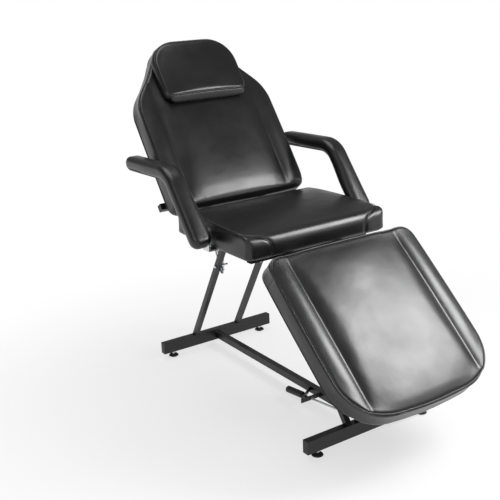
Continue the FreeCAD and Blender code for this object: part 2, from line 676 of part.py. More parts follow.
seat_bolt_x = size("cross_length") / 2 - size("seat_bolt_inset")
seat_bolt_places = [at(way * seat_bolt_x, size(end + "_cross_y"), rail_top)
                    for end in ("front", "rear") for way in (1, -1)]
bolted("seat_bolts", size("cross_side") + size("bolt_bite"), seat_bolt_places,
       {"seat_cross_front": (0, 1), "seat_cross_rear": (2, 3), "seat_board": (0, 1, 2, 3)})


def panel_bolts(name, place, along, start, length, low):
    stations = (along * (start + size("panel_bolt_start")),
                along * (start + length - size("panel_bolt_inset")))
    places = [place * at(way * panel_rail_x, spot, low) for way in sides.values() for spot in stations]
    bolted(name + "_bolts", panel_side + size("bolt_bite"), places,
           {name + "_rail_left": (0, 1), name + "_rail_right": (2, 3), name + "_board": (0, 1, 2, 3)})


panel_bolts("back", back_place, 1, size("back_rail_start"), size("back_rail_length"), back_low)
panel_bolts("leg", leg_place, -1, size("leg_rail_start"), size("leg_rail_length"), leg_low)

# Armrests: a bent band in side view, given by its centre line and distances to either side of it
arm_rear = Vector(size("arm_rear_y"), size("arm_rear_z"), 0)
arm_bend = Vector(size("arm_bend_y"), size("arm_bend_z"), 0)
arm_low = Vector(size("arm_low_y"), size("arm_low_z"), 0)
first_way = (arm_bend - arm_rear).normalize()
second_way = (arm_low - arm_bend).normalize()
first_up = Vector(first_way.y, -first_way.x, 0)
second_up = Vector(second_way.y, -second_way.x, 0)
middle_up = (first_up + second_up).normalize()
bend_radius = size("arm_bend_radius")
bend_reach = bend_radius * math.tan(first_way.getAngle(second_way) / 2)
bend_start = arm_bend - first_way * bend_reach
bend_end = arm_bend + second_way * bend_reach
bend_centre = bend_start - first_up * bend_radius
arm_half = size("arm_thick") / 2
arm_side = size("arm_width") / 2
arm_inner = size("seat_width") / 2 + size("arm_gap")
arm_x = arm_inner + arm_side


def spot(vector):
    return (vector.x, vector.y)


def quarter(centre, first, last, reach):
    between = (first + last).normalize()
    return (spot(centre + between * reach), spot(centre + last * reach))


# Both ends round for the pad, square for the board in it
def arm_band(low, high, extra, round_ends):
    rear = arm_rear - first_way * extra
    front = arm_low + second_way * extra
    steps = [spot(bend_start + first_up * high),
             (spot(bend_centre + middle_up * (bend_radius + high)), spot(bend_end + second_up * high)),
             spot(front + second_up * high)]
    if round_ends:
        steps += [quarter(front, second_up, second_way, high),
                  quarter(front, second_way, second_up * -1, high)]
    else:
        steps.append(spot(front + second_up * low))
    steps += [spot(bend_end + second_up * low),
              (spot(bend_centre + middle_up * (bend_radius + low)), spot(bend_start + first_up * low)),
              spot(rear + first_up * low)]
    if round_ends:
        steps += [quarter(rear, first_up * -1, first_way * -1, high),
                  quarter(rear, first_way * -1, first_up, high)]
    return outline(spot(rear + first_up * high), *steps)


arm_pad = padded("arm_pad", arm_band(-arm_half, arm_half, 0, True), "Sizes.arm_width")
rounded(arm_pad, edges_at(arm_pad, arm_side) + edges_at(arm_pad, -arm_side), "Sizes.arm_round")
board_low = -arm_half
board_high = board_low + size("arm_board_thick")
arm_rebate = padded("arm_rebate", arm_band(board_low - drill_over, board_high + soft, soft, False),
                    "Sizes.arm_board_width + 2 * Sizes.soft_clearance")
arm_cover = boolean("Cut", "arm_cover", arm_pad, arm_rebate)
arm_core = padded("arm_core", arm_band(board_low, board_high, 0, False), "Sizes.arm_board_width")

# Two bolts per arm run from the bracket through the padding into the edge of the arm board
flange_outer = arm_inner - soft
flange_inner = flange_outer - size("arm_bracket_thick")
bolt_line = board_low + size("arm_board_thick") / 2
bolt_spots = [arm_low + second_up * bolt_line - second_way * reach
              for reach in (size("arm_bolt_start"), size("arm_bolt_start") + size("arm_bolt_pitch"))]
bracket_y = (bolt_spots[0].x + bolt_spots[1].x) / 2
arm_bolt_length = size("arm_bracket_thick") + (size("arm_width") - size("arm_board_width")) / 2 \
    + size("arm_bolt_depth")
foot_low = seat_under - size("arm_bracket_thick")
foot_in = size("seat_width") / 2 - size("arm_bracket_reach")
arm_bolt_places = []
bracket_bolt_places = []
for side, way in sides.items():
    repeated("arm_pad_" + side, arm_cover, [at(way * arm_x, 0, 0, SIDEWAYS)])
    repeated("arm_board_" + side, arm_core, [at(way * arm_x, 0, 0, SIDEWAYS)])
    angle = padded("arm_angle_" + side, outline(
        (way * flange_outer, foot_low), (way * flange_outer, foot_low + size("arm_bracket_rise")),
        (way * flange_inner, foot_low + size("arm_bracket_rise")), (way * flange_inner, seat_under),
        (way * foot_in, seat_under), (way * foot_in, foot_low)), "Sizes.arm_bracket_width")
    piece(angle, "arm_bracket_" + side, at(0, bracket_y, 0, LENGTHWAYS))
    arm_bolt_places += [at(way * flange_inner, place.x, place.y, Rotation(Vector(0, 1, 0), 90 * way))
                        for place in bolt_spots]
    bracket_bolt_x = size("seat_width") / 2 - size("bracket_bolt_inset")
    bracket_bolt_places.append(at(way * bracket_bolt_x, bracket_y, foot_low))
bolted("arm_bolts", arm_bolt_length, arm_bolt_places,
       {"arm_bracket_left": (0, 1), "arm_bracket_right": (2, 3),
        "arm_board_left": (0, 1), "arm_board_right": (2, 3)})
for side, chosen in (("left", (0, 1)), ("right", (2, 3))):
    bored("arm_pad_" + side, [drill(bolt_radius + soft, arm_bolt_length, arm_bolt_places[number])
                              for number in chosen])
# A screw near each end of an arm board, from below
rear_screw = arm_rear + first_way * size("arm_screw_start") + first_up * board_low
low_reach = size("arm_bolt_start") + size("arm_bolt_pitch") / 2
low_screw = arm_low - second_way * low_reach + second_up * board_low
screw_places = [at(way * arm_x, place.x, place.y, Rotation(Vector(0, 0, 1), Vector(0, up.x, up.y)))
                for way in sides.values() for place, up in ((rear_screw, first_up), (low_screw, second_up))]
bolted("arm_screws", size("arm_screw_bite"), screw_places,
       {"arm_board_left": (0, 1), "arm_board_right": (2, 3)})
bolted("bracket_bolts", size("arm_bracket_thick") + size("bolt_bite"), bracket_bolt_places,
       {"arm_bracket_left": (0,), "arm_bracket_right": (1,), "seat_board": (0, 1)})

# Slotted stays: each pivot lies as far from the panel hinge as its clamp bolt, so a stay turns at half
# the rate of its panel while the bolt stays in the slot
stay_x = size("strut_x") - size("strut_side") / 2 - size("stay_gap") - size("stay_thick") / 2
stay_lug_x = stay_x - size("stay_thick") / 2 - size("stay_gap") - lug_thick / 2
stay_half = size("stay_width") / 2
stay_pin_radius = size("stay_pin") / 2
clamp_radius = size("clamp_bolt") / 2


clamp_places = []


def stay_set(name, way, place, along, hinge, clamp, drop, low, opened, closed):
    radius = math.hypot(clamp[0] - hinge[0], clamp[1] - hinge[1])
    station = along * math.sqrt(radius ** 2 - drop ** 2)
    tube(name + "_stay_tube", "2 * %r" % (panel_rail_x - panel_side / 2), "Sizes.panel_rail_side",
         "Sizes.panel_rail_side", place * at(0, station, low + panel_side / 2))
    lug = padded(name + "_stay_plate", outline(
        (station - lug_radius, low), (station - lug_radius, drop),
        (round_mid((station, drop), (station - lug_radius, drop), (station, drop - lug_radius)),
         (station, drop - lug_radius)),
        (round_mid((station, drop), (station, drop - lug_radius), (station + lug_radius, drop)),
         (station + lug_radius, drop)), (station + lug_radius, low))
        + circle(station, drop, stay_pin_radius + size("pin_clearance")), "Sizes.lug_thick")
    piece(lug, name + "_stay_lug", place * at(way * stay_lug_x, 0, 0, SIDEWAYS))
    pivot = place.multVec(Vector(0, station, drop))
    reach = math.hypot(pivot.y - clamp[0], pivot.z - clamp[1])
    spread = 2 * math.degrees(math.asin(reach / (2 * radius)))
    shortest = 2 * radius * math.sin(math.radians(spread - closed) / 2)
    longest = 2 * radius * math.sin(math.radians(spread + opened) / 2)
    slot_half = clamp_radius + size("stay_slot_clearance")
    slot_start = shortest - size("stay_margin")
    slot_end = longest + size("stay_margin")
    bar = padded(name + "_stay_bar", outline(
        (0, -stay_half), (slot_end, -stay_half), ((slot_end + stay_half, 0), (slot_end, stay_half)),
        (0, stay_half), ((-stay_half, 0), (0, -stay_half)))
        + circle(0, 0, stay_pin_radius + size("pin_clearance"))
        + outline((slot_start, -slot_half), (slot_end, -slot_half),
                  ((slot_end + slot_half, 0), (slot_end, slot_half)), (slot_start, slot_half),
                  ((slot_start - slot_half, 0), (slot_start, -slot_half))), "Sizes.stay_thick")
    along_y = (clamp[0] - pivot.y) / reach
    along_z = (clamp[1] - pivot.z) / reach
    lie = Rotation(Vector(0, along_y, along_z), Vector(0, -along_z, along_y), Vector(1, 0, 0), "XYZ")
    piece(bar, name + "_stay", at(way * stay_x, pivot.y, pivot.z, lie))
    inwards = Rotation(Vector(0, 1, 0), -90 * way)
    gap = size("stay_gap")
    head = size("stay_thick")
    shank = size("stay_thick") + 3 * gap + lug_thick
    rim = stay_pin_radius * 1.7
    pin = turned(name + "_stay_rivet", ((0, -head), (rim, -head), (rim, 0), (stay_pin_radius, 0),
                                        (stay_pin_radius, shank), (0, shank)))
    pin_x = stay_x + size("stay_thick") / 2 + gap
    piece(pin, name + "_stay_pin", at(way * pin_x, pivot.y, pivot.z, inwards))
    outer = size("strut_x") + size("strut_side") / 2
    clamp_places.append(at(way * outer, clamp[0], clamp[1], inwards))
    hole = drill(clamp_radius + size("pin_clearance"), size("strut_side") + 2 * drill_over,
                 at(way * (outer + drill_over), clamp[0], clamp[1], inwards))
    strut_end = "rear" if name == "back" else "front"
    bored("%s_strut_%s" % (strut_end, "left" if way > 0 else "right"), [hole])
    hub = size("wing_hub") / 2
    deep = size("wing_height")
    nut_bore = clamp_radius + size("pin_clearance")
    hub_body = turned(name + "_wing_hub", ((nut_bore, 0), (hub, 0), (hub * 0.85, deep), (nut_bore, deep)))
    tip = size("wing_span") / 2
    wing = [(hub * 0.7, deep * 0.2), (tip * 0.85, deep * 0.4), (tip, deep * 1.15), (tip * 0.6, deep * 1.15),
            (hub * 0.7, deep * 0.9)]
    blades = padded(name + "_wing_blades", outline(*wing) + outline(*[(-x, z) for x, z in wing]),
                    "Sizes.wing_thick")
    blades.Placement = at(0, 0, 0, LENGTHWAYS)
    nut = boolean("Fuse", name + "_wing", hub_body, blades)
    nut_x = stay_x - size("stay_thick") / 2 - gap
    piece(nut, name + "_wing_nut", at(way * nut_x, clamp[0], clamp[1], inwards))
    print(name, "stay pivot", [round(value, 3) for value in (pivot.y, pivot.z)],
          "clamp", [round(value, 3) for value in clamp],
          "slot", [round(value, 2) for value in (shortest, reach, longest)])


back_clamp_z = size("back_clamp_z")
leg_clamp_z = size("leg_clamp_z")
back_clamp = (strut_y(size("rear_bar_y"), size("rear_strut_top"), back_clamp_z), back_clamp_z)
leg_clamp = (strut_y(size("front_bar_y"), size("front_strut_top"), leg_clamp_z), leg_clamp_z)
stay_set("back", -1, back_place, 1, (size("back_hinge_y"), hinge_z["back"]), back_clamp,
         -size("stay_back_drop"), back_low, size("back_raise"), size("back_lower"))
stay_set("leg", 1, leg_place, -1, (size("leg_hinge_y"), hinge_z["leg"]), leg_clamp,
         size("stay_leg_drop"), leg_low, size("leg_raise"), size("leg_lower"))
clamp_top = size("clamp_head") / 2
clamp_tall = size("clamp_head_height")
clamp_long = size("strut_side") + size("clamp_reach")
clamp_screw = turned("clamp_screw", (
    (0, -clamp_tall), (clamp_top * 0.8, -clamp_tall), (clamp_top, -clamp_tall * 0.6), (clamp_top, 0),
    (clamp_radius, 0), (clamp_radius, clamp_long), (0, clamp_long)))
repeated("clamp_bolts", clamp_screw, clamp_places)

# Pull handle: a round rod that rises towards the foot end, with a moulded grip at its near end
slope = math.radians(size("pull_slope"))
pull_way = Vector(0, -math.cos(slope), math.sin(slope))
pull_turn = Rotation(Vector(0, 0, 1), pull_way)
grip_end = Vector(-size("pull_x"), size("pull_grip_y"), size("pull_grip_z"))
rod_radius = size("pull_rod") / 2
grip_radius = size("grip_diameter") / 2
grip_length = size("grip_length")
rod_start = grip_length - size("grip_bore")
rod = doc.addObject("Part::Cylinder", "pull_rod")
rod.setExpression("Radius", "Sizes.pull_rod / 2")
rod.setExpression("Height", "Sizes.pull_length - Sizes.grip_length + Sizes.grip_bore")
piece(rod, "pull_rod", Placement(grip_end + pull_way * rod_start, pull_turn))
grip_bore = rod_radius + size("pin_clearance")
soft_edge = grip_radius * 0.25
grip_flat = grip_radius - soft_edge
grip = turned("pull_grip_turned", (
    (0, 0), (grip_flat, 0),
    (round_mid((grip_flat, soft_edge), (grip_flat, 0), (grip_radius, soft_edge)), (grip_radius, soft_edge)),
    (grip_radius, grip_length - soft_edge), (grip_flat, grip_length),
    (grip_bore, grip_length), (grip_bore, rod_start), (0, rod_start)))
piece(grip, "pull_grip", Placement(grip_end, pull_turn))
run = drill(rod_radius + size("slide_clearance"), size("pull_length"),
            Placement(grip_end + pull_way * grip_length, pull_turn))


def rod_height(y):
    return size("pull_grip_z") + (size("pull_grip_y") - y) * math.tan(slope)


# The rod runs through a three-cornered bracket on the centre bar and a plate on the front crossbar
vee_root = -size("centre_side") / 2
vee_front = size("vee_y")
vee_thick = size("vee_thick")
vee_corner = Vector(-size("vee_reach"), vee_front + vee_thick / 2, 0)
vee_end = Vector(vee_root, vee_front + vee_thick / 2 + size("vee_spread"), 0)
brace = (vee_end - vee_corner).normalize()
brace_out = Vector(-brace.y, brace.x, 0)
brace_half = vee_thick / 2 / brace.x
inner_y = vee_front + vee_thick
inner_x = vee_corner.x + (inner_y + brace_half - vee_corner.y) * brace.x / brace.y
vee = padded("vee_strip", outline(
    (vee_root, vee_front), (vee_corner.x, vee_front),
    (spot(vee_corner + Vector(-1, 0, 0) * (vee_thick / 2)), spot(vee_corner + brace_out * (vee_thick / 2))),
    (vee_root, vee_end.y + brace_half), (vee_root, vee_end.y - brace_half), (inner_x, inner_y),
    (vee_root, inner_y)), "Sizes.vee_height")
piece(vee, "rod_bracket", at(0, 0, rod_height(vee_front)))
bored("rod_bracket", [run])
guide_top = rod_height(size("front_bar_y")) + size("guide_rise")
guide_half = size("guide_width") / 2
guide = padded("guide_plate", rectangle(-guide_half, bar_top, guide_half, guide_top), "Sizes.guide_thick")
piece(guide, "rod_guide", at(-size("pull_x"), size("front_bar_y"), 0, LENGTHWAYS))
bored("rod_guide", [run])

doc.recompute()
broken = []
for item in doc.Objects:
    if "Invalid" in item.State or "Error" in item.State:
        broken.append(item.Name)
for item in pieces:
    if item.Shape.isNull() or not item.Shape.isValid():
        broken.append(item.Label)
if broken:
    raise RuntimeError("pieces that did not build: " + ", ".join(broken))

os.makedirs("parts", exist_ok=True)
for item in pieces:
    item.Shape.exportStep("parts/%s.step" % item.Label)
print("wrote %d pieces" % len(pieces))
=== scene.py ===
import bpy, bmesh, json, math
import numpy as np
from mathutils import Matrix, Vector
from mathutils.bvhtree import BVHTree
from mathutils.kdtree import KDTree


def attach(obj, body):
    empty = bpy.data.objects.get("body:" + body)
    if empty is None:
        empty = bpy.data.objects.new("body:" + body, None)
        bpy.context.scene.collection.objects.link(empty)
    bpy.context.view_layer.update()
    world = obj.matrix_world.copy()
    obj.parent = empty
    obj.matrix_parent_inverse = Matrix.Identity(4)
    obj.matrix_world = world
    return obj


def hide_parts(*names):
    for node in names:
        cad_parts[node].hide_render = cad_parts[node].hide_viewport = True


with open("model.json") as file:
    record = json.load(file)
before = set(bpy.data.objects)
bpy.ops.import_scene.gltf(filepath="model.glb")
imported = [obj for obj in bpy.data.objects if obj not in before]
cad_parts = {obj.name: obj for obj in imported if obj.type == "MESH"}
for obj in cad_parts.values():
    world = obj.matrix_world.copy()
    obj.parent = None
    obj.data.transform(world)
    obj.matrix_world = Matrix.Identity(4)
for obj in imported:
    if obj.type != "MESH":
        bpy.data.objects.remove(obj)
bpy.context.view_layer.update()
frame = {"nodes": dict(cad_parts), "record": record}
nodes = frame["nodes"]
scene = bpy.context.scene
print("frame loaded:", len(nodes), "nodes")


# colours are written as sRGB hex and turned to linear here
def linear(hexColour):
    parts = [int(hexColour[i:i + 2], 16) / 255 for i in (1, 3, 5)]
    return [c / 12.92 if c <= 0.04045 else ((c + 0.055) / 1.055) ** 2.4 for c in parts] + [1.0]


def addNode(tree, kind, inputs=None, **settings):
    node = tree.nodes.new(kind)
    for key, value in settings.items():
        setattr(node, key, value)
    for key, value in (inputs or {}).items():
        if isinstance(value, bpy.types.NodeSocket):
            tree.links.new(value, node.inputs[key])
        else:
            node.inputs[key].default_value = value
    return node


def newMaterial(name, colour, **sockets):
    material = bpy.data.materials.new(name)
    material.use_nodes = True
    tree = material.node_tree
    shader = tree.nodes["Principled BSDF"]
    shader.inputs["Base Color"].default_value = linear(colour)
    for key, value in sockets.items():
        shader.inputs[key.replace("_", " ")].default_value = value
    coords = addNode(tree, "ShaderNodeTexCoord").outputs["Object"]
    return material, tree, shader, coords


# noise with a pitch in metres
def noisePattern(tree, coords, pitch, detail, **more):
    inputs = {"Vector": coords, "Scale": 1 / pitch, "Detail": detail, **more}
    return addNode(tree, "ShaderNodeTexNoise", inputs).outputs["Fac"]


# roughness and colour that wander between two values with a pattern
def varyRoughness(tree, shader, pattern, low, high, span=(0.0, 1.0)):
    spread = addNode(tree, "ShaderNodeMapRange", {"Value": pattern, "From Min": span[0], "From Max": span[1],
                                                  "To Min": low, "To Max": high})
    tree.links.new(spread.outputs["Result"], shader.inputs["Roughness"])


def varyColour(tree, shader, pattern, first, second):
    tint = addNode(tree, "ShaderNodeMix", {"Factor": pattern, "A": linear(first), "B": linear(second)},
                   data_type="RGBA")
    tree.links.new(tint.outputs["Result"], shader.inputs["Base Color"])


# relief of a pattern with a depth in metres
def addRelief(tree, shader, pattern, strength, depth, **more):
    inputs = {"Height": pattern, "Strength": strength, "Distance": depth, **more}
    normal = addNode(tree, "ShaderNodeBump", inputs).outputs["Normal"]
    tree.links.new(normal, shader.inputs["Normal"])
    return normal


# PVC upholstery vinyl, embossed and calendered: deep black, a soft broad gloss and a fine pebble grain
# real pebbles are about 0.7 mm; drawn at 1.4 mm so that they still show
vinylLook = {"colour": "#0a0a0b", "roughness": (0.31, 0.40), "patches": 0.09,
             "pebbles": 0.0014, "pebbleDepth": 0.0003, "creases": 0.055, "creaseDepth": 0.004}


def makeVinyl():
    material, tree, shader, coords = newMaterial("black_upholstery_vinyl", vinylLook["colour"],
                                                 IOR=1.52, Coat_Weight=0.12, Coat_Roughness=0.2)
    patches = noisePattern(tree, coords, vinylLook["patches"], detail=4.0)
    varyRoughness(tree, shader, patches, *vinylLook["roughness"], span=(0.3, 0.7))
    pebbles = addNode(tree, "ShaderNodeTexVoronoi", {"Vector": coords, "Scale": 1 / vinylLook["pebbles"]},
                      feature="SMOOTH_F1")
    grain = addRelief(tree, shader, pebbles.outputs["Distance"], strength=0.10,
                      depth=vinylLook["pebbleDepth"])
    creases = noisePattern(tree, coords, vinylLook["creases"], detail=3.0, Roughness=0.45)
    addRelief(tree, shader, creases, strength=0.25, depth=vinylLook["creaseDepth"], Normal=grain)
    return material


# black powder coat on steel tube: satin, with a faint orange peel about 1 mm across
coatLook = {"colour": "#101011", "roughness": (0.30, 0.44), "wear": 0.05, "peel": 0.0012, "peelDepth": 0.0002}


def makePowderCoat():
    material, tree, shader, coords = newMaterial("black_powder_coated_steel", coatLook["colour"], IOR=1.5)
    peel = noisePattern(tree, coords, coatLook["peel"], detail=2.0)
    addRelief(tree, shader, peel, strength=0.12, depth=coatLook["peelDepth"])
    wear = noisePattern(tree, coords, coatLook["wear"], detail=5.0)
    varyRoughness(tree, shader, wear, *coatLook["roughness"], span=(0.3, 0.7))
    return material


# bright zinc plate on screws, stays and brackets: pale blue-grey metal with faint spangle about 3 mm across
zincLook = {"colour": "#c9ccd0", "tints": ("#c3c6cb", "#d6d8da"), "roughness": (0.24, 0.38), "spangle": 0.003}


def makeZinc():
    material, tree, shader, coords = newMaterial("bright_zinc_plate", zincLook["colour"], Metallic=1.0)
    cells = addNode(tree, "ShaderNodeTexVoronoi", {"Vector": coords, "Scale": 1 / zincLook["spangle"]})
    varyColour(tree, shader, cells.outputs["Distance"], *zincLook["tints"])
    varyRoughness(tree, shader, cells.outputs["Distance"], *zincLook["roughness"])
    return material


# moulded black rubber of the feet: dull, with a fine moulding bloom
rubberLook = {"colour": "#121212", "roughness": (0.55, 0.8), "bloom": 0.006}


def makeRubber():
    material, tree, shader, coords = newMaterial("moulded_black_rubber", rubberLook["colour"], IOR=1.52)
    bloom = noisePattern(tree, coords, rubberLook["bloom"], detail=4.0)
    varyRoughness(tree, shader, bloom, *rubberLook["roughness"])
    return material


# moulded polypropylene of the plugs and the grip: spark-eroded texture about 0.8 mm across
plasticLook = {"colour": "#131314", "roughness": (0.38, 0.55), "spark": 0.0008, "sparkDepth": 0.0002}


def makePlastic():
    material, tree, shader, coords = newMaterial("moulded_black_plastic", plasticLook["colour"], IOR=1.49)
    spark = noisePattern(tree, coords, plasticLook["spark"], detail=2.0)
    addRelief(tree, shader, spark, strength=0.2, depth=plasticLook["sparkDepth"])
    varyRoughness(tree, shader, spark, *plasticLook["roughness"])
    return material


# film-faced plywood of the boards: dark brown phenolic film over a grain that shows through faintly
plywoodLook = {"colour": "#221812", "tints": ("#1a120e", "#2d2019"), "roughness": (0.4, 0.6), "grain": 0.004,
               "stretch": (1.0, 0.08, 1.0)}


def makePlywood():
    material, tree, shader, coords = newMaterial("film_faced_plywood", plywoodLook["colour"], IOR=1.5)
    drawn = addNode(tree, "ShaderNodeMapping", {"Vector": coords, "Scale": plywoodLook["stretch"]})
    grain = noisePattern(tree, drawn.outputs["Vector"], plywoodLook["grain"], detail=6.0)
    varyColour(tree, shader, grain, *plywoodLook["tints"])
    varyRoughness(tree, shader, grain, *plywoodLook["roughness"])
    return material


looks = {"vinyl": makeVinyl(), "black_steel": makePowderCoat(), "zinc_steel": makeZinc(),
         "rubber": makeRubber(), "plastic": makePlastic(), "plywood": makePlywood()}
for part in frame["record"]["subparts"]:
    mesh = nodes[part["node"]].data
    mesh.materials.clear()
    mesh.materials.append(looks[part["material_slot"]])

# each padded piece is worked flat in its own place: z is the thickness, from its board to its face,
# and an arm is worked in side view: x runs along the table, y is the height and z runs across
hinges = {"back": {"at": (0, 0.304, 0.638), "angle": 54.5}, "leg": {"at": (0, -0.184, 0.548), "angle": 42}}
undersides = {"seat": 0.601, "back": -0.026, "leg": 0.064, "pillow": 0.0543}
armSide = 0.356
turned = {name: Matrix.Translation(hinge["at"]) @ Matrix.Rotation(math.radians(hinge["angle"]), 4, "X")
          for name, hinge in hinges.items()}
lifted = {name: Matrix.Translation((0, 0, height)) for name, height in undersides.items()}
sideView = Matrix(((0, 0, 1, 0), (1, 0, 0, 0), (0, 1, 0, 0), (0, 0, 0, 1)))
places = {
    "seat": lifted["seat"],
    "back": turned["back"] @ lifted["back"],
    "leg": turned["leg"] @ lifted["leg"],
    "pillow": turned["back"] @ lifted["pillow"],
    "armLeft": Matrix.Translation((armSide, 0, 0)) @ sideView,
    "armRight": Matrix.Translation((-armSide, 0, 0)) @ sideView,
}


def readPoints(mesh):
    points = np.empty(len(mesh.vertices) * 3)
    mesh.vertices.foreach_get("co", points)
    return points.reshape(-1, 3)


def readNormals(mesh):
    normals = np.empty(len(mesh.vertices) * 3)
    mesh.vertex_normals.foreach_get("vector", normals)
    return normals.reshape(-1, 3)


def writePoints(mesh, points):
    mesh.vertices.foreach_set("co", points.ravel())
    mesh.update()


def bake(obj):
    made = bpy.data.meshes.new_from_object(obj.evaluated_get(bpy.context.evaluated_depsgraph_get()))
    obj.modifiers.clear()
    obj.data = made
    return made


# rises from 0 to 1 between two values, level at both
def smooth(values, low, high):
    share = np.clip((values - low) / (high - low), 0, 1)
    return share * share * (3 - 2 * share)


# every row of values moves halfway to the mean of its neighbours, some rounds over
def evenOut(mesh, values, rounds):
    pairs = np.empty(len(mesh.edges) * 2, dtype=np.int64)
    mesh.edges.foreach_get("vertices", pairs)
    ends = np.concatenate((pairs[0::2], pairs[1::2]))
    others = np.concatenate((pairs[1::2], pairs[0::2]))
    count = np.maximum(np.bincount(ends, minlength=len(values)), 1)
    for _ in range(rounds):
        for axis in range(values.shape[1]):
            mean = np.bincount(ends, weights=values[others, axis], minlength=len(values)) / count
            values[:, axis] = 0.5 * values[:, axis] + 0.5 * mean
    return values


remeshRun = {"weld": 1e-5, "layings": 6, "rounds": 3, "lastRounds": 2}
clothRun = {"quality": 4, "mass": 0.4, "bending": 2.0, "frames": 20}


# copy of the solid, remeshed evenly and laid back on its faces, then blown up against its held lines
def blowUp(name, node, place, spec):
    mesh = nodes[node].data.copy()
    mesh.transform(place.inverted())
    work = bmesh.new()
    work.from_mesh(mesh)
    bmesh.ops.remove_doubles(work, verts=work.verts, dist=remeshRun["weld"])
    bmesh.ops.recalc_face_normals(work, faces=work.faces)
    faces = BVHTree.FromBMesh(work)
    work.to_mesh(mesh)
    work.free()
    obj = bpy.data.objects.new(name, mesh)
    scene.collection.objects.link(obj)
    remesh = obj.modifiers.new("even", "REMESH")
    remesh.mode = "VOXEL"
    remesh.voxel_size = spec["voxel"]
    mesh = bake(obj)
    points = readPoints(mesh)
    for _ in range(remeshRun["layings"]):
        points = evenOut(mesh, points, remeshRun["rounds"])
        points = np.array([faces.find_nearest(point)[0] for point in points])
    points = evenOut(mesh, points, remeshRun["lastRounds"])
    writePoints(mesh, points)
    normals = readNormals(mesh)
    held = spec["held"](points, normals)
    start = points - normals * (spec["slack"] * (1 - held))[:, None]
    writePoints(mesh, start)
    group = obj.vertex_groups.new(name="held")
    for index in np.nonzero(held > 0.5)[0]:
        group.add([int(index)], 1.0, "REPLACE")
    cloth = obj.modifiers.new("cover", "CLOTH")
    cloth.settings.quality = clothRun["quality"]
    cloth.settings.mass = clothRun["mass"]
    cloth.settings.tension_stiffness = spec["stiff"]
    cloth.settings.compression_stiffness = spec["stiff"]
    cloth.settings.shear_stiffness = spec["stiff"] / 2
    cloth.settings.bending_stiffness = clothRun["bending"]
    cloth.settings.use_pressure = True
    cloth.settings.uniform_pressure_force = spec["pressure"]
    cloth.settings.effector_weights.gravity = 0.0
    cloth.settings.vertex_group_mass = "held"
    cloth.collision_settings.use_collision = False
    for step in range(1, clothRun["frames"] + 1):
        scene.frame_set(step)
    blown = readPoints(obj.evaluated_get(bpy.context.evaluated_depsgraph_get()).data)
    obj.modifiers.clear()
    scene.frame_set(1)
    move = blown - points
    far = np.linalg.norm(move, axis=1)
    move *= np.minimum(1.0, spec["cap"] / np.maximum(far, 1e-9))[:, None]
    # vinyl over dense foam lies taut, so the small wrinkles are ironed out of the swelling
    writePoints(mesh, points + evenOut(mesh, move, spec["iron"]))
    print(f"{name} blown up: mean {far.mean() * 1000:.1f} mm, most {far.max() * 1000:.1f} mm")
    return obj


def divideOnce(obj):
    divide = obj.modifiers.new("fine", "SUBSURF")
    divide.levels = divide.render_levels = 1
    return bake(obj)


# the surface sinks along a sewn line
def sewIn(mesh, line, depth, reach):
    tree = KDTree(len(line))
    for index, point in enumerate(line):
        tree.insert(point, index)
    tree.balance()
    points = readPoints(mesh)
    normals = readNormals(mesh)
    away = np.array([tree.find(point)[2] for point in points])
    points -= normals * (depth * np.exp(-(away / reach) ** 2))[:, None]
    writePoints(mesh, points)


# closed lines on a mesh where a value given per point passes zero
def zeroLines(mesh, values):
    work = bmesh.new()
    work.from_mesh(mesh)
    work.edges.index_update()
    spots = {}
    links = {}
    for face in work.faces:
        crossed = []
        for edge in face.edges:
            one, two = edge.verts
            low, high = values[one.index], values[two.index]
            if (low < 0) != (high < 0):
                spots[edge.index] = one.co.lerp(two.co, low / (low - high))
                crossed.append(edge.index)
        if len(crossed) == 2:
            links.setdefault(crossed[0], []).append(crossed[1])
            links.setdefault(crossed[1], []).append(crossed[0])
    work.free()
    lines = []
    left = set(links)
    while left:
        here = min(left)
        line = []
        while here in left:
            left.discard(here)
            line.append(spots[here])
            ahead = [other for other in links[here] if other in left]
            here = ahead[0] if ahead else None
        lines.append(line)
    return sorted(lines, key=len, reverse=True)


# points of a line at an even pitch, smoothed a little
def evenLine(line, pitch, closed, rounds):
    points = np.array([list(point) for point in line])
    if closed:
        points = np.vstack((points, points[:1]))
    run = np.concatenate(([0], np.cumsum(np.linalg.norm(np.diff(points, axis=0), axis=1))))
    count = max(8, int(run[-1] / pitch))
    at = np.linspace(0, run[-1], count, endpoint=not closed)
    points = np.column_stack([np.interp(at, run, points[:, axis]) for axis in range(3)])
    for _ in range(rounds):
        middle = (np.roll(points, 1, axis=0) + np.roll(points, -1, axis=0)) / 2
        if not closed:
            middle[0], middle[-1] = points[0], points[-1]
        points = (points + middle) / 2
    return points


cord = {"sides": 8, "up": (0.12, 0.21, 0.97)}


